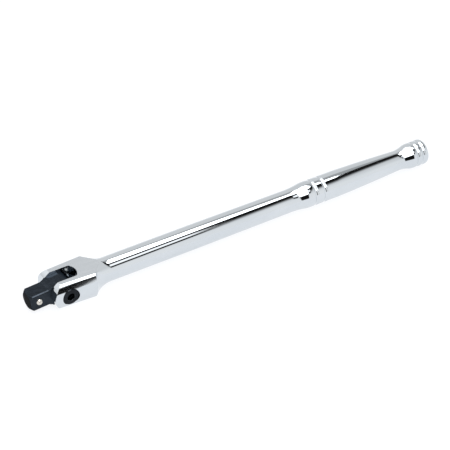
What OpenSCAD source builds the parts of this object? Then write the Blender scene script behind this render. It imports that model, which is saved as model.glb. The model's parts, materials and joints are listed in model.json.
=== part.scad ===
/* [Overall] */
// Length from the drive's tip to the end of the handle
overall_length = 254; // [230:1:300]
// How far the drive hangs down from straight, in degrees
droop = 3.7; // [0:0.1:10]

/* [Drive head] */
// Width across the flats of the square drive
drive_square = 9.53; // [9.3:0.01:9.6]
// From the hinge to the drive's tip
drive_reach = 20.4; // [19:0.1:26]
// Corner radius along the square
square_edge = 1.1; // [0.6:0.1:1.5]
// Length of the turned lead-in on the tip
lead_in = 1.9; // [1.5:0.1:3]
// Radius of the flat left on the tip
tip_face_r = 4.3; // [3.6:0.1:4.5]
// Half thickness and end radius of the tang between the ears
tang_r = 5.9; // [5.5:0.1:6]
// From the hinge to the square's shoulder
shoulder_x = 9.5; // [9.4:0.1:10]
// Radius of the hollow between the tang and the square
throat_r = 2.2; // [1.8:0.1:2.6]

/* [Socket detent] */
// Radius of the ball that grips the socket
ball_r = 1.98; // [1.8:0.01:2]
// How far the ball stands out of the square
ball_proud = 1.15; // [0.8:0.05:1.2]
// From the tip back to the ball
ball_setback = 5; // [4:0.1:5.5]
// Depth of the ball's drilling
ball_bore_depth = 7.2; // [6:0.1:7.8]

/* [Fork] */
// Radius of the turned fork at its shoulder
fork_r = 11.6; // [11:0.1:12]
// Radius of the turned fork where the ear tips start to round over
ear_r = 10.7; // [10.2:0.1:11.2]
// Thickness of the fork across its two flats
fork_thick = 15.1; // [14.5:0.1:16]
// Radius of the ear tips about the hinge, seen from the side
ear_tip_r = 8.7; // [8.5:0.1:9.2]
// Radius on the outer corner of each ear tip, seen from above
ear_round = 1.2; // [0.5:0.1:3]
// Radius along the fork's four long edges
fork_edge = 2; // [1:0.1:3]
// Width of the slot between the ears
slot_w = 9.5; // [9.4:0.05:9.8]
// From the hinge to the middle of the slot's root
slot_reach = 8.6; // [8.4:0.1:9]
// Radius of the slot's root, seen from above
slot_root_r = 6.9; // [6:0.1:9]
// From the hinge to the fork's shoulder
fork_x = 15.4; // [15:0.1:17]

/* [Shaft and grip] */
// Radius of the shaft behind the fork
shaft_r = 6.82; // [6.4:0.01:7]
// Radius of the neck between the fork and the shaft
neck_r = 16.5; // [14:0.5:20]
// From the hinge to where the shaft starts to thin down
shaft_taper_x = 80; // [60:1:100]
// Radius of the shaft just before the collar
waist_r = 6.48; // [6.2:0.01:6.7]
// From the hinge to the foot of the collar's flare
collar_foot_x = 141; // [130:1:143]
// From the hinge to the sharp edge where the flare meets the collar
collar_x = 151; // [149:0.5:152]
// Radius of the collar and of the front of the grip
grip_r = 7.48; // [7.2:0.01:7.5]
// From the hinge to where the grip starts to thin down
grip_taper_x = 171; // [168:1:175]
// Radius of the grip where it is thinnest
grip_end_r = 5.83; // [5.5:0.01:6.5]
// Length of the knob, from the foot of its flare to the end of the handle
knob_len = 19.4; // [18:0.1:21]
// Length of the knob's flare
knob_flare = 8.6; // [7:0.1:9]
// Radius of the knob
knob_r = 7.3; // [7:0.01:7.5]
// Radius that rounds the end of the handle
end_round = 1.6; // [0.8:0.1:2]
// Width of each round-bottomed groove
groove_w = 2.1; // [1.4:0.1:2.4]
// Depth of each round-bottomed groove
groove_d = 0.45; // [0.2:0.05:0.6]

/* [Hinge screw] */
// Radius of the screw's head
head_r = 4.65; // [4:0.05:4.7]
// Radius of the screw's smooth shank, which the drive turns on
shank_r = 2.75; // [2.5:0.05:3]
// Radius over the screw's thread
thread_r = 2.5; // [2:0.05:2.6]
// Pitch of the screw's thread
thread_pitch = 0.8; // [0.5:0.1:1]
// Size of the hex key that turns the screw, across its flats
key_af = 4; // [3:0.5:5]
// Depth of the screw's hex socket
key_depth = 2.2; // [1.5:0.1:2.4]

/* [Hold plunger] */
// Radius of the plunger that holds the drive where it is put
plunger_r = 2; // [1.5:0.1:2.2]
// Length of the plunger, with its round nose
plunger_len = 6.5; // [5:0.5:7]
// From the hinge to the bottom of the plunger's drilling
plunger_bore_x = 21; // [19:0.5:22]

/* [Hidden] */
$fn = 96;

// Clearances
run_fit = 0.05;        // between a pin or plunger and its bore, on the radius
side_fit = 0.12;       // between the tang and each ear
nose_gap = 0.1;        // between the plunger's nose and the tang
thread_fit = 0.03;     // between the screw's thread and the tapped ear
head_fit = 0.2;        // between the screw's head and its counterbore

// The hinge's place over the middle of the tool's footprint
tip_x = drive_reach * cos(droop) + tip_face_r * sin(droop);
end_x = overall_length - tip_x;
hinge_x = overall_length / 2 - end_x;
hinge_z = fork_thick / 2;

half_square = drive_square / 2;
half_slot = slot_w / 2;
tang_half_w = half_slot - side_fit;
far = 40;              // reaches past the fork on every side
arc_steps = 12;

knob_foot_x = end_x - knob_len;
knob_x = knob_foot_x + knob_flare;
knob_grooves = [for (back = [3.7, 7.25]) end_x - back];
collar_grooves = [for (on = [5.35, 11.25]) collar_x + on];
groove_arc_r = (pow(groove_w / 2, 2) + pow(groove_d, 2)) / (2 * groove_d);
taper_power = 1.35;    // how fast the grip's thinning steepens: 1 is a straight cone
grip_fall = atan(taper_power * (grip_r - grip_end_r) / (knob_foot_x - grip_taper_x));

screw_face_y = 10.75;  // from the middle of the fork to the face of the screw's head
head_len = 3.4;
screw_end_y = 10.3;    // from the middle of the fork to the screw's threaded end
screw_chamfer = 0.6;   // around the head, the socket's mouth and the threaded end
thread_depth = 0.45;
thread_crest = 0.1;    // share of the pitch that stays flat on the thread's crest
key_lead = 0.35;       // how far the socket's mouth opens beyond the flats

ball_y = half_square + ball_proud - ball_r;      // from the drive's axis to the ball's centre
ball_x = drive_reach - ball_setback;
plunger_nose_x = tang_r + nose_gap;
tip_round = 0.7;       // radius between the tip's flat and the lead-in
throat_x = shoulder_x + 0.1;

wire_r = 0.24;
ball_spring_gap = 0.3;      // between each spring and the wall of its drilling
hold_spring_gap = 0.1;
ball_seat = 0.35;           // how far the ball sits into the end of its spring
wire_sides = 8;
turn_steps = 16;

// Points of an arc about a centre, from one angle to another
function arc(c, r, a0, a1, n = arc_steps) =
    [for (i = [0:n]) let (a = a0 + (a1 - a0) * i / n) c + r * [cos(a), sin(a)]];

// Points of a hollow flare: one arc that leaves (x0, r0) at a slope and opens out to (x1, r1)
function flare(x0, r0, x1, r1, slope = 0) =
    let (chord = atan2(r1 - r0, x1 - x0), bend = chord - slope,
         r = norm([x1 - x0, r1 - r0]) / (2 * sin(bend)), a = 270 + slope)
    arc([x0 - r * cos(a), r0 - r * sin(a)], r, a, a + 2 * bend);

// Points of a taper that starts level and steepens
function thinning(x0, r0, x1, r1, n = arc_steps) =
    [for (i = [0:n]) let (t = i / n) [x0 + (x1 - x0) * t, r0 + (r1 - r0) * pow(t, taper_power)]];

// Puts a piece that is drawn about the hinge in its place in the tool
module at_hinge() translate([hinge_x, 0, hinge_z]) children();

// Turns a piece of the head to the angle at which the drive hangs
module drooped() at_hinge() rotate([0, -droop, 0]) children();

// Turns an outline of [distance along X, radius] points about the X axis
module turned(points) rotate([0, 90, 0]) rotate_extrude() polygon([for (p = points) [p[1], p[0]]]);

// A straight round bar along Y, between two distances from the hinge
module cross_bar(r, y0, y1, $fn = $fn)
    translate([0, y1, 0]) rotate([90, 0, 0]) cylinder(r = r, h = y1 - y0);

// A straight round bar along X
module long_bar(r, x0, x1) translate([x0, 0, 0]) rotate([0, 90, 0]) cylinder(r = r, h = x1 - x0);

// A coil spring along Z, closed by its own wire ends
module coil(r, length, turns) {
    steps = turns * turn_steps;
    rise = length - 2 * wire_r;
    function ring(i) = let (a = 360 * i / turn_steps, z = wire_r + rise * i / steps)
        [for (j = [0:wire_sides - 1]) let (b = 360 * j / wire_sides, d = r + wire_r * cos(b))
            [d * cos(a), d * sin(a), z + wire_r * sin(b)]];
    polyhedron(
        points = [for (i = [0:steps]) each ring(i)],
        faces = concat(
            [[for (j = [0:wire_sides - 1]) j]],
            [for (i = [0:steps - 1], j = [0:wire_sides - 1]) let (k = (j + 1) % wire_sides)
                [i * wire_sides + j, (i + 1) * wire_sides + j, (i + 1) * wire_sides + k, i * wire_sides + k]],
            [[for (j = [wire_sides - 1:-1:0]) steps * wire_sides + j]]));
}

// The outline that the handle is turned to, from the ear tips to the knob
function handle_outline() =
    let (round_x = ear_round - ear_tip_r,
         neck_x = fork_x + neck_r * sin(acos(1 - (fork_r - shaft_r) / neck_r)))
    concat(
        [[-ear_tip_r, 0]],
        arc([round_x, ear_r - ear_round], ear_round, 180, 90),
        [[fork_x, fork_r]],
        arc([neck_x, shaft_r + neck_r], neck_r, 270 - acos(1 - (fork_r - shaft_r) / neck_r), 270),
        [[shaft_taper_x, shaft_r]],
        flare(collar_foot_x, waist_r, collar_x, grip_r),
        thinning(grip_taper_x, grip_r, knob_foot_x, grip_end_r),
        flare(knob_foot_x, grip_end_r, knob_x, knob_r, -grip_fall),
        arc([end_x - end_round, knob_r - end_round], end_round, 90, 0),
        [[end_x, 0]]);

// The ring that turns one round-bottomed groove
module groove(x, r)
    translate([x, 0, 0]) rotate([0, 90, 0]) rotate_extrude()
        translate([r - groove_d + groove_arc_r, 0]) circle(groove_arc_r);

// The fork's cross-section: two flats, whose long edges round over onto the turned sides
module fork_section() {
    mid_r = (fork_r + ear_r) / 2;
    edge_z = fork_thick / 2 - fork_edge;
    edge_y = sqrt(pow(mid_r - fork_edge, 2) - pow(edge_z, 2));
    lean = atan(edge_z / edge_y);
    side = mid_r / cos(lean);
    polygon(concat(
        [[side, 0]],
        arc([edge_y, edge_z], fork_edge, lean, 90, 5),
        arc([-edge_y, edge_z], fork_edge, 90, 180 - lean, 5),
        [[-side, 0]],
        arc([-edge_y, -edge_z], fork_edge, 180 + lean, 270, 5),
        arc([edge_y, -edge_z], fork_edge, 270, 360 - lean, 5)));
}

// Everything that lies behind the round ear tips
module behind_ear_tips() {
    cross_bar(ear_tip_r, -far, far);
    translate([0, -far, -far]) cube([end_x + 1, 2 * far, 2 * far]);
}

// The gap that the tang turns in, with its hollow root
module slot() translate([0, 0, -far]) linear_extrude(2 * far) {
    translate([-far, -half_slot]) square([far + slot_reach - slot_root_r, slot_w]);
    intersection() {
        translate([slot_reach - slot_root_r, 0]) circle(slot_root_r);
        translate([0, -half_slot]) square([far, slot_w]);
    }
}

module handle_bar() color("gainsboro") at_hinge() difference() {
    intersection() {
        turned(handle_outline());
        translate([-far, 0, 0]) rotate([90, 0, 90]) linear_extrude(end_x + far + 1) fork_section();
        behind_ear_tips();
    }
    slot();
    cross_bar(head_r + head_fit, -far, -screw_face_y + head_len);
    cross_bar(shank_r + run_fit, -far, 0);
    cross_bar(thread_r + thread_fit, 0, far);
    long_bar(plunger_r + run_fit, 0, plunger_bore_x);
    for (x = collar_grooves) groove(x, grip_r);
    for (x = knob_grooves) groove(x, knob_r);
}

// The side view of the drive: tang, throat and square, all but the turned tip
module head_side() {
    rise = acos(1 - (tang_r - half_square) / throat_r);
    top = concat(
        arc([0, 0], tang_r, 0, 90),
        arc([-throat_x, half_square + throat_r], throat_r, 270 + rise, 270, 6),
        [[-drive_reach, half_square]]);
    polygon(concat(top, [for (i = [len(top) - 1:-1:1]) [top[i][0], -top[i][1]]]));
}

// The square's cross-section, with its rounded corners
module square_section() {
    inner = half_square - square_edge;
    polygon([for (q = [0:3]) each
        arc([inner * (q == 0 || q == 3 ? 1 : -1), inner * (q < 2 ? 1 : -1)], square_edge, 90 * q, 90 * q + 90, 5)]);
}

// The envelope of the turned lead-in, which cuts the corners off the square's tip
module tip_envelope() {
    corner_r = half_square * sqrt(2);
    turned(concat([[-drive_reach, 0]],
        arc([tip_round - drive_reach, tip_face_r], tip_round, 180, 135, 4),
        [[-drive_reach + lead_in, corner_r], [-shoulder_x, far], [far, far], [far, 0]]));
}

module drive_head() color("#2b3038") drooped() difference() {
    intersection() {
        rotate([90, 0, 0]) translate([0, 0, -far]) linear_extrude(2 * far) head_side();
        union() {
            translate([-shoulder_x, -tang_half_w, -far]) cube([shoulder_x + tang_r, 2 * tang_half_w, 2 * far]);
            translate([-far, 0, 0]) rotate([90, 0, 90]) linear_extrude(far - shoulder_x) square_section();
        }
        tip_envelope();
    }
    cross_bar(shank_r + run_fit, -far, far);
    translate([-ball_x, -ball_y, 0]) sphere(ball_r + run_fit);
    translate([-ball_x, 0, 0]) cross_bar(ball_r + run_fit, -ball_y, ball_bore_depth - half_square);
}

module drive_ball() color("silver") drooped() translate([-ball_x, -ball_y, 0]) sphere(ball_r);

module drive_ball_spring() color("gray") drooped()
    translate([-ball_x, -half_square + ball_bore_depth, 0]) rotate([90, 0, 0])
        coil(ball_r - wire_r - ball_spring_gap, ball_bore_depth - half_square + ball_y - ball_r + ball_seat, 5);

// The screw, turned about the hinge: head, shank and a thread drawn as plain rings
function screw_outline() =
    let (head_end = head_len - screw_face_y,
         rings = floor((screw_end_y - half_slot - screw_chamfer) / thread_pitch))
    concat(
        [[-screw_face_y, 0], [-screw_face_y, head_r - screw_chamfer], [screw_chamfer - screw_face_y, head_r],
         [head_end, head_r], [head_end, shank_r], [half_slot, shank_r]],
        [for (i = [0:rings - 1]) let (y = half_slot + i * thread_pitch) each
            [[y, thread_r - thread_depth], [y + thread_pitch / 2, thread_r],
             [y + thread_pitch * (0.5 + thread_crest), thread_r], [y + thread_pitch, thread_r - thread_depth]]],
        [[screw_end_y, thread_r - screw_chamfer], [screw_end_y, 0]]);

module hinge_screw() color("#2b3038") at_hinge() difference() {
    rotate([0, 0, 90]) turned(screw_outline());
    translate([0, -screw_face_y, 0]) rotate([-90, 30, 0]) {
        translate([0, 0, -1]) cylinder(d = key_af / cos(30), h = key_depth + 1, $fn = 6);
        translate([0, 0, -0.01]) cylinder(r1 = key_af / 2 + key_lead, r2 = key_af / 2, h = key_lead);
    }
}

module hold_plunger() color("silver") at_hinge() {
    translate([plunger_nose_x + plunger_r, 0, 0]) sphere(plunger_r);
    long_bar(plunger_r, plunger_nose_x + plunger_r, plunger_nose_x + plunger_len);
}

module hold_spring() color("gray") at_hinge()
    translate([plunger_nose_x + plunger_len, 0, 0]) rotate([0, 90, 0])
        coil(plunger_r - wire_r - hold_spring_gap, plunger_bore_x - plunger_nose_x - plunger_len, 6);

handle_bar();
drive_head();
hinge_screw();
drive_ball();
drive_ball_spring();
hold_plunger();
hold_spring();
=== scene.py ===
# %% [markdown]
# # A flex-head breaker bar
#
# The bar is one chromed forging with a fork at its end. A black drive head swings in the fork on a
# hinge screw, a spring plunger in the bar holds it where it is put, and a sprung ball in the square
# keeps the socket on. The CAD model fixes every size, place and movement. Here each piece is
# modelled again at that size with the soft edges, the thread and the surface that the real one has.

# %% Load the frame
import json
import math

import bpy
from mathutils import Matrix, Vector


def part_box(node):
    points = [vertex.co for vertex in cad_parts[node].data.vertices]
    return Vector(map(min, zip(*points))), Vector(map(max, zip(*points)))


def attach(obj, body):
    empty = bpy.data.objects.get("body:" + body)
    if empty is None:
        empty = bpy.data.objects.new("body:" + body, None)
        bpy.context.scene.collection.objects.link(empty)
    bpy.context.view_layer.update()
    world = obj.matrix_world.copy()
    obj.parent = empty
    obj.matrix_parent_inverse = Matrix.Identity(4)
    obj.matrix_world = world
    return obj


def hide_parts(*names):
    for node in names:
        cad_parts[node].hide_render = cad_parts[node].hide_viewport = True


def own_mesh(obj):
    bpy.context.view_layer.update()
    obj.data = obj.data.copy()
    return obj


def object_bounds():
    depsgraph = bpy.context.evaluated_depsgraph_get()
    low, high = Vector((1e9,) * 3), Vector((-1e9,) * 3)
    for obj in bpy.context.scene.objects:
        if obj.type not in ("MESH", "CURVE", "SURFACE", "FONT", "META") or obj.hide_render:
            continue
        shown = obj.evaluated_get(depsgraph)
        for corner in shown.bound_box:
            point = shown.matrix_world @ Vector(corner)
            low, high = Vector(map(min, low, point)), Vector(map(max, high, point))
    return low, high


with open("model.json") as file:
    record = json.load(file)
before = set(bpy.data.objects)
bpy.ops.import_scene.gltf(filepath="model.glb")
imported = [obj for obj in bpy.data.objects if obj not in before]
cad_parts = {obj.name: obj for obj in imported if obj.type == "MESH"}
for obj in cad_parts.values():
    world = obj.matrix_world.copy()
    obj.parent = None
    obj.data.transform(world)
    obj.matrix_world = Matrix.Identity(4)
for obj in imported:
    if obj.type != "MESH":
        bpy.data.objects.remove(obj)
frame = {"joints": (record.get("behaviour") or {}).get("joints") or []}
cad_low, cad_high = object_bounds()
print("CAD box in mm:", [round(v * 1000, 1) for v in (*cad_low, *cad_high)])

# %% [markdown]
# ## Where things are
#
# The hinge is the natural zero of this tool: the fork, the head and the screw are all laid out from
# it. Its place and the slope at which the head hangs come from the frame, so pieces are drawn about
# the hinge in millimetres and then put in place.

# %% The hinge and the overall length
MM = 0.001
joints = {joint["name"]: joint for joint in frame["joints"]}
HINGE = Vector(joints["head_hinge"]["pos_m"])
ball_low, ball_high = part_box("drive_ball")
ball_place = (Vector(ball_low) + Vector(ball_high)) / 2 - HINGE
DROOP = math.atan2(-ball_place.z, -ball_place.x)
END = (cad_high.x - HINGE.x) / MM
FORK_HALF = (cad_high.z - cad_low.z) / 2 / MM

AT_HINGE = Matrix.Translation(HINGE)
ON_HEAD = AT_HINGE @ Matrix.Rotation(-DROOP, 4, "Y")
print("hinge to the end of the knob:", round(END, 2), "mm, half the fork's thickness:",
      round(FORK_HALF, 2), "mm, the head hangs at", round(math.degrees(DROOP), 2), "degrees")

# %% [markdown]
# ## The camera
#
# A long lens from well back keeps the bar's sides nearly parallel. The camera stands to the left and
# above, so the near ear, the screw and the ball all face it.

# %% Camera
AIM = HINGE + Vector((0.10023, -0.00052, 0.00021))
AZIMUTH = math.radians(-32.83)
ELEVATION = math.radians(37.73)
ROLL = math.radians(1.0)
DISTANCE = 1.0831

toward_camera = Vector((math.sin(AZIMUTH) * math.cos(ELEVATION),
                        -math.cos(AZIMUTH) * math.cos(ELEVATION),
                        math.sin(ELEVATION)))
camera = bpy.data.objects.new("camera", bpy.data.cameras.new("camera"))
bpy.context.scene.collection.objects.link(camera)
camera.data.sensor_width = 36
camera.data.lens = 160
look = (-toward_camera).to_track_quat("-Z", "Y").to_matrix().to_4x4()
camera.matrix_world = (Matrix.Translation(AIM + toward_camera * DISTANCE) @ look
                       @ Matrix.Rotation(ROLL, 4, "Z"))
bpy.context.scene.camera = camera
bpy.context.scene.view_settings.view_transform = "Standard"
print("camera at", [round(v, 3) for v in camera.location])

# %% [markdown]
# ## Colours and nodes
#
# Colours are picked as sRGB hex codes, the way a paint chart gives them, and a shader wants them
# linear. One small function adds any node with its settings and its links.

# %% Helpers for colours and nodes
def colour(code):
    """An sRGB hex colour as the linear RGBA that a shader takes."""
    channels = [int(code[i:i + 2], 16) / 255 for i in (0, 2, 4)]
    linear = [c / 12.92 if c <= 0.04045 else ((c + 0.055) / 1.055) ** 2.4 for c in channels]
    return (*linear, 1.0)


def add(tree, kind, inputs=None, **settings):
    """Adds a node. Its inputs are given by name or number, as a value or as a socket to link."""
    node = tree.nodes.new(kind)
    for name, value in settings.items():
        setattr(node, name, value)
    for name, value in (inputs or {}).items():
        if isinstance(value, bpy.types.NodeSocket):
            tree.links.new(value, node.inputs[name])
        else:
            node.inputs[name].default_value = value
    return node


print("chrome grey as linear:", [round(c, 3) for c in colour("cdd3d8")])

# %% [markdown]
# ## The studio
#
# Chrome has no colour of its own to speak of: what is seen is the room. The room here is a white
# tent with an overhead soft box that runs along the bar, split by black flags. Area lights could do
# it, but their edges would shift with every small move of the bar. So the tent is painted on the
# world by direction: one angle goes round the bar, from the back horizon over the top to the front,
# and the other value says how far a direction leans along the bar. Each panel is a window in both.

# %% World: the two directions
world = bpy.data.worlds.new("light_tent")
bpy.context.scene.world = world
world.use_nodes = True
tent = world.node_tree
tent.nodes.clear()


def math_node(operation, a, b=0.0):
    """One step of arithmetic on the tent's values."""
    return add(tent, "ShaderNodeMath", {0: a, 1: b}, operation=operation).outputs[0]


def ramp(value, start, stop, first=0.0, last=1.0):
    """A smooth step from first to last as value goes from start to stop."""
    return add(tent, "ShaderNodeMapRange", interpolation_type="SMOOTHSTEP",
               inputs={"Value": value, "From Min": start, "From Max": stop,
                       "To Min": first, "To Max": last}).outputs["Result"]


direction = add(tent, "ShaderNodeTexCoord").outputs["Generated"]
axes = add(tent, "ShaderNodeSeparateXYZ", {0: direction})
along = axes.outputs["X"]
turn_angle = math_node("DEGREES", math_node("ARCTAN2", axes.outputs["Z"], axes.outputs["Y"]))
around = math_node("MODULO", math_node("ADD", turn_angle, 360.0), 360.0)
print("world nodes so far:", len(tent.nodes))

# %% World: the panels
MIDDLE = 100.0


def edge(angle, slope=0.0, bow=0.0, soft=3.0, pivot=0.37):
    """Goes from 0 to 1 where the way round passes an edge.

    The edge lies at an angle in degrees and is soft over a few more. Beyond the lean called pivot it
    slants and bows, as the edge of a flat panel does when it is seen by direction.
    """
    beyond = math_node("MAXIMUM", math_node("SUBTRACT", along, pivot), 0.0)
    bowed = math_node("MULTIPLY", math_node("MULTIPLY", beyond, beyond), bow)
    shift = math_node("ADD", math_node("MULTIPLY", beyond, slope), bowed)
    here = math_node("SUBTRACT", around, shift)
    return ramp(here, angle - soft / 2, angle + soft / 2)


def panel(light, level, first, last, leans=(-2.0, 2.0), fade=0.04, slant=0.0):
    """Lays a panel of one brightness over the light, between two edges and two leans.

    Its ends fade over a small lean, and slant by so much for each degree round from MIDDLE.
    """
    lean = math_node("ADD", along, math_node("MULTIPLY", math_node("SUBTRACT", around, MIDDLE), slant))
    inside = math_node("SUBTRACT", first, last)
    inside = math_node("MULTIPLY", inside, ramp(lean, leans[0] - fade / 2, leans[0] + fade / 2))
    inside = math_node("MULTIPLY", inside, ramp(lean, leans[1] - fade / 2, leans[1] + fade / 2, 1, 0))
    return add(tent, "ShaderNodeMix", {"Factor": inside, "A": light, "B": level},
               data_type="FLOAT").outputs[0]


# How bright each cloth, light and flag is
BACK_CLOTH, FRONT_CLOTH, SIDE_CLOTH = 0.88, 1.08, 1.15
WHITE_BOX, LOW_STRIP, SEAM, FLAG = 5.0, 1.5, 0.5, 0.01
# The leans between which the straight bar, its near half and its far half find their reflections
WHOLE_BAR, NEAR_HALF, FAR_HALF = (0.33, 0.60), (0.33, 0.43), (0.425, 0.64)
# The leans that the fork's sides, the flares and the grooves find, and those that the ear tips find
FLARED, TIPPED = (-0.2, 0.326), (-0.7, -0.15)
FORK_SIDE = (-0.2, 0.320)

# The tent's cloth is a little darker at the back than at the front: the soft grey of the whole bar
light = ramp(around, 120, 160, BACK_CLOTH, FRONT_CLOTH)
# The overhead box under its seam: the thin grey line and the long white band along the bar
box_top = edge(63, 150)
light = panel(light, SEAM, edge(54), box_top, (0.36, 0.60))
light = panel(light, WHITE_BOX, box_top, edge(100, 0, -350), WHOLE_BAR)
# A flag, a low strip and a second flag: two dark lines with a pale one between, on the near half
light = panel(light, FLAG, edge(97.5), edge(112), (0.33, 0.44), 0.02)
light = panel(light, LOW_STRIP, edge(112), edge(129), (0.33, 0.425), 0.01)
light = panel(light, FLAG, edge(130, -80, 0, 4), edge(143, -80, 0, 5), NEAR_HALF, 0.02)
# One broad flag with a soft lower edge: the black line that rises along the far half and the grip
flag_top, flag_foot = edge(96, 0, -1200, 4, 0.42), edge(131, -30, -800, 28, 0.42)
light = panel(light, FLAG, flag_top, flag_foot, FAR_HALF, 0.02)
# The end of the box: the white diamonds on the flares, the grooves and the fork's upper edge
light = panel(light, WHITE_BOX, edge(52, 90, 0, 3, 0.14), edge(141), FLARED, 0.02, 0.0009)
# Brighter cloth beside the tool: the pale ear tips
light = panel(light, SIDE_CLOTH, edge(10, 0, 0, 20), edge(60, 0, 0, 20), TIPPED, 0.3)
# A flag below the end of the box: the black foot of each diamond and the band along the fork's side
light = panel(light, FLAG, edge(145, 0, 0, 4), edge(180, 0, 0, 6), FORK_SIDE, 0.006, 0.0004)
print("world nodes with the panels:", len(tent.nodes))

# %% World: what the camera sees
# The camera itself sees a plain pale room, and dull surfaces are lit by the tent's even glow, so the
# panels show only where the metal reflects them.
ROOM, SOFT_FILL = 0.97, 0.8
rays = add(tent, "ShaderNodeLightPath").outputs
soft = add(tent, "ShaderNodeMix", {"Factor": rays["Is Diffuse Ray"], "A": light, "B": SOFT_FILL},
           data_type="FLOAT").outputs[0]
seen = add(tent, "ShaderNodeMix", {"Factor": rays["Is Camera Ray"], "A": soft, "B": ROOM},
           data_type="FLOAT")
background = add(tent, "ShaderNodeBackground", {"Color": seen.outputs[0]})
add(tent, "ShaderNodeOutputWorld", {"Surface": background.outputs[0]})
print("world is linked")

# %% [markdown]
# ## The floor
#
# The tool lies on a sheet of acrylic that is lit from below as well as above. The light from below
# fills nearly all of the shadow, so the floor looks white.

# %% Floor
bpy.ops.object.select_all(action="DESELECT")
bpy.ops.mesh.primitive_plane_add(size=8)
floor = bpy.context.object
floor.name = "floor"

acrylic = bpy.data.materials.new("lit_acrylic_sheet")
acrylic.use_nodes = True
sheet = acrylic.node_tree.nodes["Principled BSDF"]
# The sheet itself is a dark grey, so the bright box overhead adds little to its own light
sheet.inputs["Base Color"].default_value = colour("6c6c6d")
sheet.inputs["Roughness"].default_value = 0.8
sheet.inputs["Specular IOR Level"].default_value = 0.0
# That light is very slightly cool, and the underside of the chrome picks it up
sheet.inputs["Emission Color"].default_value = colour("fcfdff")
sheet.inputs["Emission Strength"].default_value = 0.90
floor.data.materials.append(acrylic)
print("floor is", floor.dimensions.x, "m wide")

# %% [markdown]
# ## Helpers for turning and cutting
#
# Nearly everything here was made on a lathe and then milled or drilled. So pieces start the same
# way: an outline is drawn point by point, spun about an axis, and then cut with other solids.
# A boolean cut leaves a knife edge, which no real tool has, so a bevel follows.

# %% Outline, spin, extrude
def select_none():
    """Leaves edit mode if need be, with nothing selected."""
    if bpy.context.object and bpy.context.object.mode == "EDIT":
        bpy.ops.object.mode_set(mode="OBJECT")
    bpy.ops.object.select_all(action="DESELECT")


def draw_line(name, points):
    """Draws a line through points in mm: a plane is merged to one corner, which is then extruded."""
    select_none()
    bpy.ops.mesh.primitive_plane_add(size=MM)
    line = bpy.context.object
    line.name = line.data.name = name
    bpy.ops.object.mode_set(mode="EDIT")
    bpy.ops.mesh.select_mode(type="VERT")
    bpy.ops.mesh.merge(type="CENTER")
    here = Vector((0.0, 0.0, 0.0))
    for i, point in enumerate(points):
        step = Vector(point) * MM - here
        here += step
        if i == 0:
            bpy.ops.transform.translate(value=step)
        else:
            bpy.ops.mesh.extrude_region_move(TRANSFORM_OT_translate={"value": step})
    return line


def clean_up(closeness=1e-7):
    """Merges doubled corners and turns every face outwards, in edit mode, and leaves edit mode."""
    bpy.ops.mesh.select_all(action="SELECT")
    bpy.ops.mesh.remove_doubles(threshold=closeness)
    bpy.ops.mesh.normals_make_consistent(inside=False)
    bpy.ops.object.mode_set(mode="OBJECT")


def turned(name, outline, steps=96, axis="X"):
    """Spins an outline of (along, radius) points about the axis through the hinge."""
    if axis == "X":
        points, spin_axis = [(a, 0, r) for a, r in outline], (1, 0, 0)
    else:
        points, spin_axis = [(0, a, r) for a, r in outline], (0, 1, 0)
    piece = draw_line(name, points)
    bpy.ops.mesh.select_all(action="SELECT")
    bpy.ops.mesh.spin(steps=steps, angle=math.tau, center=(0, 0, 0), axis=spin_axis)
    clean_up()
    return piece


def sawn(name, outline, low, high, axis):
    """Fills an outline and extrudes it from low to high along an axis, like a shape sawn from plate."""
    place = {"X": lambda p: (low, *p), "Y": lambda p: (p[0], low, p[1]), "Z": lambda p: (*p, low)}[axis]
    step = {"X": (high - low, 0, 0), "Y": (0, high - low, 0), "Z": (0, 0, high - low)}[axis]
    piece = draw_line(name, [place(p) for p in outline])
    bpy.ops.mesh.select_all(action="SELECT")
    bpy.ops.mesh.edge_face_add()
    bpy.ops.mesh.extrude_region_move(TRANSFORM_OT_translate={"value": Vector(step) * MM})
    clean_up()
    return piece


print("helpers for outlines are ready")

# %% Arcs, cuts and edges
SLIVER = 2e-6


def arc(centre, radius, first, last, steps=12):
    """Points of an arc, from one angle to another, in degrees."""
    angles = [math.radians(first + (last - first) * i / steps) for i in range(steps + 1)]
    return [(centre[0] + radius * math.cos(a), centre[1] + radius * math.sin(a)) for a in angles]


def apply_modifier(piece, kind, **settings):
    """Adds a modifier with its settings to a piece and applies it at once."""
    modifier = piece.modifiers.new(kind.lower(), kind)
    for name, value in settings.items():
        setattr(modifier, name, value)
    select_none()
    bpy.context.view_layer.objects.active = piece
    piece.select_set(True)
    bpy.ops.object.modifier_apply(modifier=modifier.name)


def cut(piece, tool, operation="DIFFERENCE"):
    """Cuts a piece with a tool, or keeps only what both hold, and throws the tool away."""
    apply_modifier(piece, "BOOLEAN", object=tool, operation=operation, solver="EXACT")
    bpy.data.objects.remove(tool)


def drill(piece, radius, low, high, axis, steps=64):
    """Drills a round hole along an axis through the hinge."""
    cut(piece, turned("drill", [(low, 0), (low, radius), (high, radius), (high, 0)], steps, axis))


def break_edges(piece, width, angle=30, steps=3):
    """Rounds every edge sharper than an angle to a width in mm, and shades the rest smooth."""
    select_none()
    bpy.context.view_layer.objects.active = piece
    piece.select_set(True)
    bpy.ops.object.mode_set(mode="EDIT")
    bpy.ops.mesh.select_all(action="SELECT")
    bpy.ops.mesh.remove_doubles(threshold=SLIVER)
    bpy.ops.object.mode_set(mode="OBJECT")
    apply_modifier(piece, "BEVEL", width=width * MM, segments=steps, limit_method="ANGLE",
                   angle_limit=math.radians(angle), miter_outer="MITER_ARC", use_clamp_overlap=True)
    bpy.ops.object.shade_smooth_by_angle(angle=math.radians(30))
    apply_modifier(piece, "WEIGHTED_NORMAL", keep_sharp=True, weight=80)


def fit_in(piece, place):
    """Puts the piece's place into its mesh, so that its object stays at the origin."""
    piece.data.transform(place)
    piece.data.update()


print("helpers for cuts are ready")

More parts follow.
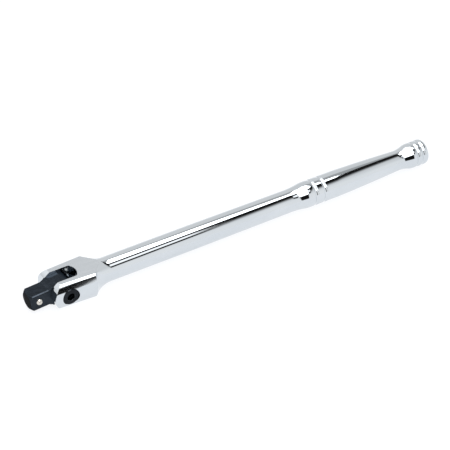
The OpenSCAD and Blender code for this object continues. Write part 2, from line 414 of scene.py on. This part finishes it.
# %% [markdown]
# ## The chromed bar: its turned form
#
# The bar is forged and then turned, so its whole form from the ear tips to the knob is one outline.
# A subdivided cylinder could be pulled into shape, but the flares and grooves are true arcs, and
# chrome shows the smallest dent. So the outline is made of arcs and spun in fine steps.

# %% Outline of the bar
EAR_TIP_R, EAR_ROUND, EAR_R = 8.7, 1.2, 10.7
FORK_X, FORK_R = 15.4, 11.6
SHAFT_R, NECK_R, SHAFT_TAPER_X = 6.82, 16.5, 80
COLLAR_FOOT_X, WAIST_R, COLLAR_X, GRIP_R, SHOULDER = 141, 6.48, 153.5, 7.48, 4
GRIP_TAPER_X, GRIP_END_R, TAPER_POWER = 171, 5.83, 1.35
KNOB_FOOT_X, KNOB_X, KNOB_R, END_ROUND = END - 19.4, END - 8.7, 7.3, 1.6
GROOVE_W, GROOVE_D = 2.1, 0.45
COLLAR_GROOVES, KNOB_GROOVES = (COLLAR_X + 2.85, COLLAR_X + 8.75), (END - 7.25, END - 3.7)
LAND_EDGE = 0.2


def rise(x0, r0, x1, r1, slope0, slope1, steps=14):
    """Points where a radius changes from one slope to another at an even rate, up to r1 at x1."""
    span = x1 - x0
    points = []
    for i in range(steps + 1):
        t = i / steps
        points.append((x0 + span * t, r0 + span * (slope0 * t + (slope1 - slope0) * t * t / 2)))
    drift = r1 - points[-1][1]
    return [(x, r + drift * i / steps) for i, (x, r) in enumerate(points)]


def flare(x0, r0, x1, r1, shoulder, slope=0.0):
    """A hollow rise from the foot, then a short round shoulder onto the land."""
    hollow = x1 - shoulder - x0
    steepest = (2 * (r1 - r0) - slope * hollow) / (x1 - x0)
    middle = r0 + hollow * (slope + steepest) / 2
    first = rise(x0, r0, x1 - shoulder, middle, slope, steepest)
    return first[:-1] + rise(x1 - shoulder, middle, x1, r1, steepest, 0.0, 10)


def groove(x, r):
    """A round-bottomed groove in a land of radius r, whose lips are rounded over a little."""
    radius = ((GROOVE_W / 2) ** 2 + GROOVE_D ** 2) / (2 * GROOVE_D)
    reach = math.degrees(math.asin(GROOVE_W / 2 / radius)) - 6
    return arc((x, r - GROOVE_D + radius), radius, 270 - reach, 270 + reach, 12)


def lip(x, r, side):
    """The rounded lip of a groove or a land: a short soft corner on one side of it."""
    return [(x + side * LAND_EDGE * k, r - d) for k, d in ((1, 0), (0.5, 0.012), (0.1, 0.05))][::-side]


neck_turn = math.degrees(math.acos(1 - (FORK_R - SHAFT_R) / NECK_R))
neck_x = FORK_X + NECK_R * math.sin(math.radians(neck_turn))
thinning_len, thinning_by = KNOB_FOOT_X - GRIP_TAPER_X, GRIP_END_R - GRIP_R
fall = TAPER_POWER * thinning_by / thinning_len
thinning = [(GRIP_TAPER_X + thinning_len * t, GRIP_R + thinning_by * t ** TAPER_POWER)
            for t in [i / 24 for i in range(24)]]

outline = [(-EAR_TIP_R, 0)] + arc((EAR_ROUND - EAR_TIP_R, EAR_R - EAR_ROUND), EAR_ROUND, 180, 90, 8)
outline += arc((neck_x, SHAFT_R + NECK_R), NECK_R, 270 - neck_turn, 270, 24)
outline += [(SHAFT_TAPER_X, SHAFT_R)] + flare(COLLAR_FOOT_X, WAIST_R, COLLAR_X, GRIP_R, SHOULDER)
half = GROOVE_W / 2
for x in COLLAR_GROOVES:
    outline += lip(x - half, GRIP_R, -1) + groove(x, GRIP_R)[1:-1] + lip(x + half, GRIP_R, 1)
outline += thinning + flare(KNOB_FOOT_X, GRIP_END_R, KNOB_X, KNOB_R, SHOULDER, fall)
for x in KNOB_GROOVES:
    outline += lip(x - half, KNOB_R, -1) + groove(x, KNOB_R)[1:-1] + lip(x + half, KNOB_R, 1)
outline += arc((END - END_ROUND, KNOB_R - END_ROUND), END_ROUND, 90, 0, 10) + [(END, 0)]

bar = turned("chromed_bar", outline, steps=160)
print("turned bar:", len(bar.data.polygons), "faces")

# %% [markdown]
# ## The chromed bar: the fork
#
# The turned blank is milled flat above and below, slotted for the head, rounded at the ear tips and
# drilled. Each of these is one cut, in the order that the shop would make them. The flats run into
# the turned sides over a rounded edge, so the tool that keeps them is a bar with rounded edges
# that widens with the fork.

# %% Mill the flats
FORK_EDGE = 2.0


def flats_section(radius):
    """Half the section of the flats' tool: from the flat, over its rounded edge, onto the side."""
    z = FORK_HALF - FORK_EDGE
    y = math.sqrt((radius - FORK_EDGE) ** 2 - z ** 2)
    tilt = math.degrees(math.atan2(z, y))
    side = radius / math.cos(math.radians(tilt)) + 1
    rim = arc((y, z), FORK_EDGE, tilt, 90, 12)
    right = [(a, -b) for a, b in rim[::-1]] + [(side, 0)] + rim
    return right + [(-a, -b) for a, b in right]


def flats_tool():
    """A bar of that section, as wide at each place as the fork is there."""
    slope = (FORK_R - EAR_R) / (FORK_X + EAR_TIP_R - EAR_ROUND)
    stations = [(-20.0, FORK_R - slope * (FORK_X + 20)), (FORK_X, FORK_R), (END + 5, FORK_R)]
    first, middle, last = [[Vector((x, *p)) * MM for p in flats_section(r)] for x, r in stations]
    tool = sawn("flats", [tuple(p / MM)[1:] for p in first], stations[0][0], stations[1][0], "X")
    for corner in tool.data.vertices:
        if corner.co.x > 0:
            match = min(range(len(first)), key=lambda i: (first[i].yz - corner.co.yz).length)
            corner.co = middle[match]
    bpy.ops.object.mode_set(mode="EDIT")
    bpy.ops.mesh.select_all(action="DESELECT")
    bpy.ops.object.mode_set(mode="OBJECT")
    for face in tool.data.polygons:
        face.select = face.normal.x > 0.9
    bpy.ops.object.mode_set(mode="EDIT")
    bpy.ops.mesh.select_mode(type="FACE")
    bpy.ops.mesh.extrude_region_move(TRANSFORM_OT_translate={"value": last[0] - middle[0]})
    clean_up()
    return tool


cut(bar, flats_tool(), "INTERSECT")
print("bar with its flats:", len(bar.data.polygons), "faces")

# %% Round the ear tips, slot the fork and drill it
SLOT_HALF, SLOT_REACH, SLOT_ROOT_R = 4.75, 8.6, 6.9
HEAD_R, HEAD_FIT, SHANK_R, RUN_FIT = 4.65, 0.2, 2.75, 0.05
THREAD_R, THREAD_FIT, PLUNGER_R, PLUNGER_BORE_X = 2.5, 0.03, 2.0, 21
SCREW_FACE_Y, HEAD_LEN = 10.75, 3.4
REACH = 40

tips = arc((0, 0), EAR_TIP_R, 270, 90, 64)
tips = tips + [(END + 5, EAR_TIP_R), (END + 5, -EAR_TIP_R)]
cut(bar, sawn("tips", tips, -REACH, REACH, "Y"), "INTERSECT")

root = math.degrees(math.asin(SLOT_HALF / SLOT_ROOT_R))
slot = [(-REACH, -SLOT_HALF)] + arc((SLOT_REACH - SLOT_ROOT_R, 0), SLOT_ROOT_R, -root, root, 24)
cut(bar, sawn("slot", slot + [(-REACH, SLOT_HALF)], -REACH, REACH, "Z"))

drill(bar, HEAD_R + HEAD_FIT, -REACH, HEAD_LEN - SCREW_FACE_Y, "Y", 96)
drill(bar, SHANK_R + RUN_FIT, -REACH, 0, "Y")
drill(bar, THREAD_R + THREAD_FIT, 0, REACH, "Y")
drill(bar, PLUNGER_R + RUN_FIT, 0, PLUNGER_BORE_X, "X")
print("bar with its fork:", len(bar.data.polygons), "faces")

# %% Break the edges of the bar
break_edges(bar, 0.3)
fit_in(bar, AT_HINGE)
print("finished bar:", len(bar.data.polygons), "faces")

# %% [markdown]
# ## The drive head
#
# The head is forged, milled square and hardened black. Seen from the side, a flat tang that is round
# about the hinge runs through a hollow throat into the square. So it starts as that side outline,
# sawn from plate. Milling it means keeping only what a second solid holds: the rounded square in
# front of the shoulder and the flat tang behind it. A bevelled box would get the square, but not the
# way the throat and the shoulder meet it.

# %% The head's outline and milling
DRIVE_REACH, HALF_SQUARE, SQUARE_EDGE, LEAD_IN = 20.4, 4.765, 1.1, 1.9
TIP_FACE_R, TIP_ROUND, TANG_R, TANG_HALF = 4.3, 0.7, 5.9, 4.63
SHOULDER_X, THROAT_X, THROAT_R = 9.5, 9.6, 2.2

climb = math.degrees(math.acos(1 - (TANG_R - HALF_SQUARE) / THROAT_R))
top_line = arc((0, 0), TANG_R, 0, 90, 32)
top_line += arc((-THROAT_X, HALF_SQUARE + THROAT_R), THROAT_R, 270 + climb, 270, 10)
top_line += [(-DRIVE_REACH, HALF_SQUARE)]
side = top_line + [(x, -z) for x, z in top_line[::-1]][:-1]
head = sawn("drive_head_black", side, -REACH, REACH, "Y")

inner = HALF_SQUARE - SQUARE_EDGE
corners = [((inner, inner), 0), ((-inner, inner), 90), ((-inner, -inner), 180), ((inner, -inner), 270)]
section = [point for centre, turn in corners for point in arc(centre, SQUARE_EDGE, turn, turn + 90, 8)]
mill = sawn("mill", section, -REACH, -SHOULDER_X, "X")
tang = [(-SHOULDER_X, -TANG_HALF), (REACH, -TANG_HALF), (REACH, TANG_HALF), (-SHOULDER_X, TANG_HALF)]
cut(mill, sawn("tang", tang, -REACH, REACH, "Z"), "UNION")
cut(head, mill, "INTERSECT")
print("milled head:", len(head.data.polygons), "faces")

# %% Turn its tip, drill it and break its edges
BALL_R, BALL_PROUD, BALL_SETBACK, BALL_BORE_DEPTH = 1.98, 1.15, 5.0, 7.2
BALL_X, BALL_Y = DRIVE_REACH - BALL_SETBACK, HALF_SQUARE + BALL_PROUD - BALL_R
SPRING_FOOT_Y = BALL_BORE_DEPTH - HALF_SQUARE

lead = [(-DRIVE_REACH, 0)] + arc((TIP_ROUND - DRIVE_REACH, TIP_FACE_R), TIP_ROUND, 180, 135, 6)
lead += [(LEAD_IN - DRIVE_REACH, HALF_SQUARE * math.sqrt(2)),
         (-SHOULDER_X, REACH), (REACH, REACH), (REACH, 0)]
cut(head, turned("lead_in", lead, 128), "INTERSECT")
drill(head, SHANK_R + RUN_FIT, -REACH, REACH, "Y")

bore = arc((-BALL_Y, 0), BALL_R + RUN_FIT, 180, 90, 16)
bore = turned("ball_bore", bore + [(SPRING_FOOT_Y, BALL_R + RUN_FIT), (SPRING_FOOT_Y, 0)], 48, "Y")
fit_in(bore, Matrix.Translation(Vector((-BALL_X, 0, 0)) * MM))
cut(head, bore)
break_edges(head, 0.25)
fit_in(head, ON_HEAD)
print("finished head:", len(head.data.polygons), "faces")

# %% [markdown]
# ## The hinge screw
#
# A black socket-head screw: a low round head with a soft rim, a plain shank that the tang turns on,
# and a thread that bites into the far ear. A stack of rings could stand for the thread, but a real
# thread climbs, so its ridge is a short profile wound up by the screw modifier and joined to the
# core. The hexagon socket is broached after a drill, which leaves the drill's cone at the bottom.

# %% Turn the screw and broach its socket
SCREW_END_Y, CORE_R, PITCH, RIM, POINT = 10.3, 2.05, 0.8, 0.5, 0.6
KEY_HALF, KEY_DEPTH, KEY_LEAD, DRILL_POINT = 2.0, 2.2, 0.35, 0.55
DRILL_R = KEY_HALF - 0.15
CREST_HALF, ROOT_HALF, THREAD_TURNS = 0.05, 0.39, 5

blank = [(-SCREW_FACE_Y, 0)] + arc((RIM - SCREW_FACE_Y, HEAD_R - RIM), RIM, 180, 90, 8)
blank += [(HEAD_LEN - SCREW_FACE_Y, HEAD_R), (HEAD_LEN - SCREW_FACE_Y, SHANK_R), (SLOT_HALF, SHANK_R)]
blank += [(SLOT_HALF, CORE_R), (SCREW_END_Y - POINT / 2, CORE_R),
          (SCREW_END_Y, CORE_R - POINT / 2), (SCREW_END_Y, 0)]
screw = turned("hinge_screw_black", blank, 96, "Y")

hexagon = arc((0, 0), KEY_HALF / math.cos(math.pi / 6), 30, 330, 5)
floor_y = KEY_DEPTH - SCREW_FACE_Y
cut(screw, sawn("broach", hexagon, -SCREW_FACE_Y - 1, floor_y, "Y"))
cone = [(floor_y - 0.1, 0), (floor_y - 0.1, DRILL_R), (floor_y, DRILL_R), (floor_y + DRILL_POINT, 0)]
cut(screw, turned("drill_point", cone, 48, "Y"))
lead_y = -SCREW_FACE_Y - 0.01
mouth = [(lead_y, 0), (lead_y, KEY_HALF + KEY_LEAD), (lead_y + KEY_LEAD, KEY_HALF), (lead_y + KEY_LEAD, 0)]
cut(screw, turned("mouth", mouth, 48, "Y"))
print("screw with its socket:", len(screw.data.polygons), "faces")

# %% Wind the thread and join it
start = SLOT_HALF + PITCH / 2 + ROOT_HALF
ridge = [(start - ROOT_HALF, CORE_R - 0.1), (start - CREST_HALF, THREAD_R), (start + CREST_HALF, THREAD_R),
         (start + ROOT_HALF, CORE_R - 0.1)]
thread = draw_line("thread", [(0, y, r) for y, r in ridge + ridge[:1]])
bpy.ops.mesh.select_all(action="SELECT")
bpy.ops.mesh.remove_doubles(threshold=1e-7)
bpy.ops.object.mode_set(mode="OBJECT")
apply_modifier(thread, "SCREW", axis="Y", angle=math.tau, screw_offset=PITCH * MM,
               iterations=THREAD_TURNS, steps=36, render_steps=36)
bpy.ops.object.mode_set(mode="EDIT")
bpy.ops.mesh.select_all(action="SELECT")
bpy.ops.mesh.fill_holes(sides=0)
clean_up()
cut(screw, thread, "UNION")
break_edges(screw, 0.12, 40, 2)
fit_in(screw, AT_HINGE)
print("finished screw:", len(screw.data.polygons), "faces")

# %% [markdown]
# ## The ball and the plunger
#
# The ball is a plain bearing ball. A cube that is cut fine and cast to a sphere has even faces all
# over, where a globe would pinch at its poles, and one pole would face out of the square. The
# plunger is turned: a round nose that rides on the tang, and a body that slides in the bar.

# %% The ball
bpy.ops.mesh.primitive_cube_add(size=BALL_R * MM)
ball = bpy.context.object
ball.name = ball.data.name = "bearing_ball"
bpy.ops.object.mode_set(mode="EDIT")
bpy.ops.mesh.select_all(action="SELECT")
bpy.ops.mesh.subdivide(number_cuts=15)
bpy.ops.object.mode_set(mode="OBJECT")
apply_modifier(ball, "CAST", cast_type="SPHERE", factor=1.0, radius=BALL_R * MM, use_radius_as_size=True)
bpy.ops.object.shade_smooth()
fit_in(ball, ON_HEAD @ Matrix.Translation(Vector((-BALL_X, -BALL_Y, 0)) * MM))
print("ball:", round(ball.dimensions.x / MM, 2), "mm across")

# %% The plunger
NOSE_X, PLUNGER_END_X = 6.0, 12.5
rod = arc((NOSE_X + PLUNGER_R, 0), PLUNGER_R, 180, 90, 20)
rod += [(PLUNGER_END_X, PLUNGER_R), (PLUNGER_END_X, 0)]
plunger = turned("nosed_plunger", rod, 64)
break_edges(plunger, 0.2)
fit_in(plunger, AT_HINGE)
print("plunger:", round(plunger.dimensions.x / MM, 2), "mm long")

# %% [markdown]
# ## The two springs
#
# Both are wound from hard wire. The round section of the wire is drawn once at the coil's radius and
# wound up by the screw modifier, which keeps the wire round all the way.

# %% Wind the springs
WIRE_R = 0.24


def spring(name, radius, length, turns, place):
    """A coil that stands on the hinge and rises along Z, put in its place."""
    ring = arc((radius, WIRE_R), WIRE_R, 0, 360, 12)
    coil = draw_line(name, [(x, 0, z) for x, z in ring])
    bpy.ops.mesh.select_all(action="SELECT")
    bpy.ops.mesh.remove_doubles(threshold=1e-7)
    bpy.ops.object.mode_set(mode="OBJECT")
    apply_modifier(coil, "SCREW", axis="Z", angle=math.tau, steps=32, render_steps=32,
                   screw_offset=(length - 2 * WIRE_R) / turns * MM, iterations=turns)
    bpy.ops.object.mode_set(mode="EDIT")
    bpy.ops.mesh.select_all(action="SELECT")
    bpy.ops.mesh.fill_holes(sides=0)
    clean_up()
    bpy.ops.object.shade_smooth_by_angle(angle=math.radians(40))
    fit_in(coil, place)
    return coil


BALL_COIL_R, BALL_SPRING_LEN, BALL_TURNS = 1.44, 4.74, 5
HOLD_COIL_R, HOLD_SPRING_LEN, HOLD_TURNS = 1.66, 8.5, 6
ball_foot = ON_HEAD @ Matrix.Translation(Vector((-BALL_X, SPRING_FOOT_Y, 0)) * MM)
ball_spring = spring("ball_spring", BALL_COIL_R, BALL_SPRING_LEN, BALL_TURNS,
                     ball_foot @ Matrix.Rotation(math.pi / 2, 4, "X"))
hold_top = AT_HINGE @ Matrix.Translation(Vector((PLUNGER_END_X, 0, 0)) * MM)
hold_spring = spring("hold_coil", HOLD_COIL_R, HOLD_SPRING_LEN, HOLD_TURNS,
                     hold_top @ Matrix.Rotation(math.pi / 2, 4, "Y"))
print("springs:", round(ball_spring.dimensions.y / MM, 2), "and",
      round(hold_spring.dimensions.x / MM, 2), "mm long")

# %% [markdown]
# ## The finishes
#
# Every finish starts from the place on the piece in millimetres, so a pattern has the size it has on
# the real thing whatever the piece is scaled to. The patterns are small: they break up the
# reflections, and are not seen for themselves.

# %% Helpers for finishes
def new_finish(name):
    """A material, its shader and the place on the piece in mm."""
    material = bpy.data.materials.new(name)
    material.use_nodes = True
    tree = material.node_tree
    place = add(tree, "ShaderNodeTexCoord").outputs["Object"]
    place_mm = add(tree, "ShaderNodeVectorMath", {0: place, "Scale": 1 / MM}, operation="SCALE")
    return material, tree, tree.nodes["Principled BSDF"], place_mm.outputs["Vector"]


def grain(tree, place, size, detail=2.0):
    """Noise whose blobs have a size in mm: one number, or three along X, Y and Z."""
    sizes = size if isinstance(size, tuple) else (size, size, size)
    scaled = add(tree, "ShaderNodeMapping", {"Vector": place, "Scale": [1 / v for v in sizes]})
    return add(tree, "ShaderNodeTexNoise", {"Vector": scaled.outputs[0], "Scale": 1.0, "Detail": detail},
               noise_dimensions="3D").outputs["Fac"]


def between(tree, value, first, last, low=0.3, high=0.7):
    """Spreads a pattern evenly between two values."""
    return add(tree, "ShaderNodeMapRange", {"Value": value, "From Min": low, "From Max": high,
                                            "To Min": first, "To Max": last}).outputs["Result"]


def blend_colours(tree, factor, first, last):
    mixed = add(tree, "ShaderNodeMix", {"Factor": factor, "A": first, "B": last}, data_type="RGBA")
    return mixed.outputs["Result"]


def dents(tree, height, depth, under=None):
    """A bump whose full height is depth in mm, over another bump if one is given."""
    inputs = {"Height": height, "Distance": depth * MM, "Strength": 1.0}
    if under is not None:
        inputs["Normal"] = under
    return add(tree, "ShaderNodeBump", inputs).outputs["Normal"]


print("finish helpers are ready")

# %% [markdown]
# ### Chrome
#
# Bright nickel-chrome plate is a clean mirror with a very faint blue. What tells it from perfect is
# the slow wave of the polished steel below and the fine lines of the last polishing wheel, which ran
# round the bar. The fork's two flats were ground lengthwise before plating, and stay softer.

# %% Polished and ground chrome
chrome, tree, shader, place = new_finish("polished_chrome_plate")
# A faint cool tint, a little duller in patches a few centimetres long
patches = grain(tree, place, (30, 12, 12))
tint = blend_colours(tree, between(tree, patches, 0, 1), colour("ccd2d7"), colour("d3d8dc"))
tree.links.new(tint, shader.inputs["Base Color"])
shader.inputs["Metallic"].default_value = 1.0
# Handling leaves the mirror slightly cloudy here and there
tree.links.new(between(tree, grain(tree, place, 9, 4), 0.03, 0.06), shader.inputs["Roughness"])
# Slow polishing waves bend the bands of light, and hairlines round the bar soften their edges
waves = dents(tree, grain(tree, place, (14, 7, 7), 1), 0.0015)
hairlines = dents(tree, grain(tree, place, (0.12, 5, 5), 3), 0.00004, waves)
tree.links.new(hairlines, shader.inputs["Normal"])

satin, tree, shader, place = new_finish("ground_chrome_plate")
tint = blend_colours(tree, grain(tree, place, (12, 3, 3)), colour("c9ced3"), colour("d1d6da"))
tree.links.new(tint, shader.inputs["Base Color"])
shader.inputs["Metallic"].default_value = 1.0
# The grinding is uneven, so the softness is too
tree.links.new(between(tree, grain(tree, place, (6, 2, 2), 4), 0.12, 0.2), shader.inputs["Roughness"])
# Grinding lines along the fork spread the reflection sideways
tree.links.new(dents(tree, grain(tree, place, (9, 0.14, 9), 3), 0.0006), shader.inputs["Normal"])

bar.data.materials.append(chrome)
bar.data.materials.append(satin)
flats = 0
for face in bar.data.polygons:
    if abs(face.normal.z) > 0.999 and face.center.x < HINGE.x + (FORK_X + 8) * MM:
        face.material_index = 1
        flats += 1
print("faces on the fork's flats:", flats)

# %% [markdown]
# ### Black oxide
#
# The head and the screw are hardened and blackened in hot salts, then oiled. The oxide is thin, so
# it keeps the grain of the steel, looks blue-grey where light grazes it, and rubs bright first on
# the edges; on the screw the lighter edge grey is also a painted highlight on the rim. A plain dark
# paint would lack the soft metal sheen and the oil's sharper one on top.

# %% Black oxide on the head and the screw
EDGE_RUB_AND_HIGHLIGHT_WIDTH = 0.35


def blackened(name, dark, light, rubbed_and_highlight_grey, rough, oil):
    """Black oxide: two greys, the lighter grey that its edges are rubbed to, which on the screw also paints
    a highlight on its rim, its roughness and its oil film.
    """
    material, tree, shader, place = new_finish(name)
    # Clouds of a few millimetres where the salts took differently
    clouds = between(tree, grain(tree, place, 2.5, 5), 0, 1)
    oxide = blend_colours(tree, clouds, colour(dark), colour(light))
    # Edges are rubbed to a lighter grey, more in some places than in others, and on the screw that grey
    # also paints the highlight along its rim
    true_normal = add(tree, "ShaderNodeNewGeometry").outputs["Normal"]
    rounded = add(tree, "ShaderNodeBevel", {"Radius": EDGE_RUB_AND_HIGHLIGHT_WIDTH * MM}, samples=6).outputs[0]
    turn = add(tree, "ShaderNodeVectorMath", {0: rounded, 1: true_normal}, operation="DOT_PRODUCT")
    edges = between(tree, turn.outputs["Value"], 1, 0, 0.86, 0.99)
    rubbed_and_highlight_mask = add(tree, "ShaderNodeMath", {0: edges, 1: between(tree, grain(tree, place, 1.2, 3), 0.2, 1)},
               operation="MULTIPLY").outputs[0]
    tree.links.new(blend_colours(tree, rubbed_and_highlight_mask, oxide, colour(rubbed_and_highlight_grey)), shader.inputs["Base Color"])
    shader.inputs["Metallic"].default_value = 1.0
    # The oxide takes the flare off glancing reflections
    shader.inputs["Specular Tint"].default_value = colour("8a8d92")
    # The film of salts is finer in some spots, so the sheen comes and goes
    sheen = between(tree, grain(tree, place, 0.8, 3), rough, rough + 0.1)
    tree.links.new(sheen, shader.inputs["Roughness"])
    # A thin film of oil gives a second, sharper sheen over the dull oxide
    shader.inputs["Coat Weight"].default_value = oil
    tree.links.new(between(tree, grain(tree, place, 4, 3), 0.12, 0.3), shader.inputs["Coat Roughness"])
    # The shot-blasted grain of the steel below
    tree.links.new(dents(tree, grain(tree, place, 0.12, 2), 0.0025), shader.inputs["Normal"])
    return material


oxide = blackened("black_oxide_oiled", "262b31", "31373e", "4c535c", 0.16, 0.1)
# The screw's edge grey is lighter than the head's: part rubbed steel, part a painted highlight on the rim
# of its head
screw_oxide = blackened("black_oxide_screw", "171a1e", "202429", "727a83", 0.14, 0.2)
head.data.materials.append(oxide)
screw.data.materials.append(screw_oxide)
print("black pieces:", head.name, screw.name)

# %% [markdown]
# ### Bright steel
#
# The ball is lapped to a mirror, the plunger is ground round, and the springs are drawn wire that
# took a straw tint when it was tempered. They differ only in tint, in roughness and in which way
# their fine lines run.

# %% Ball, plunger and spring steel
def bright(name, dark, light, rough, line_sizes, depth):
    """Bare steel: two tints, the span of its roughness, and its lines' sizes and depth in mm."""
    material, tree, shader, place = new_finish(name)
    tint = blend_colours(tree, between(tree, grain(tree, place, 1.5, 3), 0, 1), colour(dark), colour(light))
    tree.links.new(tint, shader.inputs["Base Color"])
    shader.inputs["Metallic"].default_value = 1.0
    # Rubbed places shine more than the rest
    tree.links.new(between(tree, grain(tree, place, 0.6, 3), *rough), shader.inputs["Roughness"])
    # Fine lines left by the last tool
    tree.links.new(dents(tree, grain(tree, place, line_sizes, 2), depth), shader.inputs["Normal"])
    return material


ball_steel = bright("lapped_ball_steel", "c9c5bd", "d8d5cf", (0.02, 0.05), 0.3, 0.00004)
plunger_steel = bright("ground_plunger_steel", "7e7f7e", "929392", (0.25, 0.38), (0.06, 2, 2), 0.0004)
ball.data.materials.append(ball_steel)
plunger.data.materials.append(plunger_steel)
wire = bright("tempered_spring_wire", "8f8571", "a79d8a", (0.2, 0.34), 0.15, 0.0005)
ball_spring.data.materials.append(wire)
hold_spring.data.materials.append(wire)
print("bright pieces:", ball.name, plunger.name, ball_spring.name, hold_spring.name)

# %% [markdown]
# ## Putting it together
#
# Each piece rides on the body that the CAD piece belongs to and stands for that piece.

# %% Ride and replace
for piece, body, node, slot_name in (
        (bar, "handle", "handle_bar", "polished_chrome"),
        (screw, "handle", "hinge_screw", "screw_black_oxide"),
        (hold_spring, "handle", "hold_spring", "spring_steel"),
        (head, "head", "drive_head", "black_oxide"),
        (ball_spring, "head", "drive_ball_spring", "spring_steel"),
        (ball, "ball", "drive_ball", "ball_steel"),
        (plunger, "plunger", "hold_plunger", "ball_steel")):
    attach(piece, body)
    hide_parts(node)
    print(piece.name, "rides", body, "and stands for", node)

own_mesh(ball_spring)
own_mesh(hold_spring)
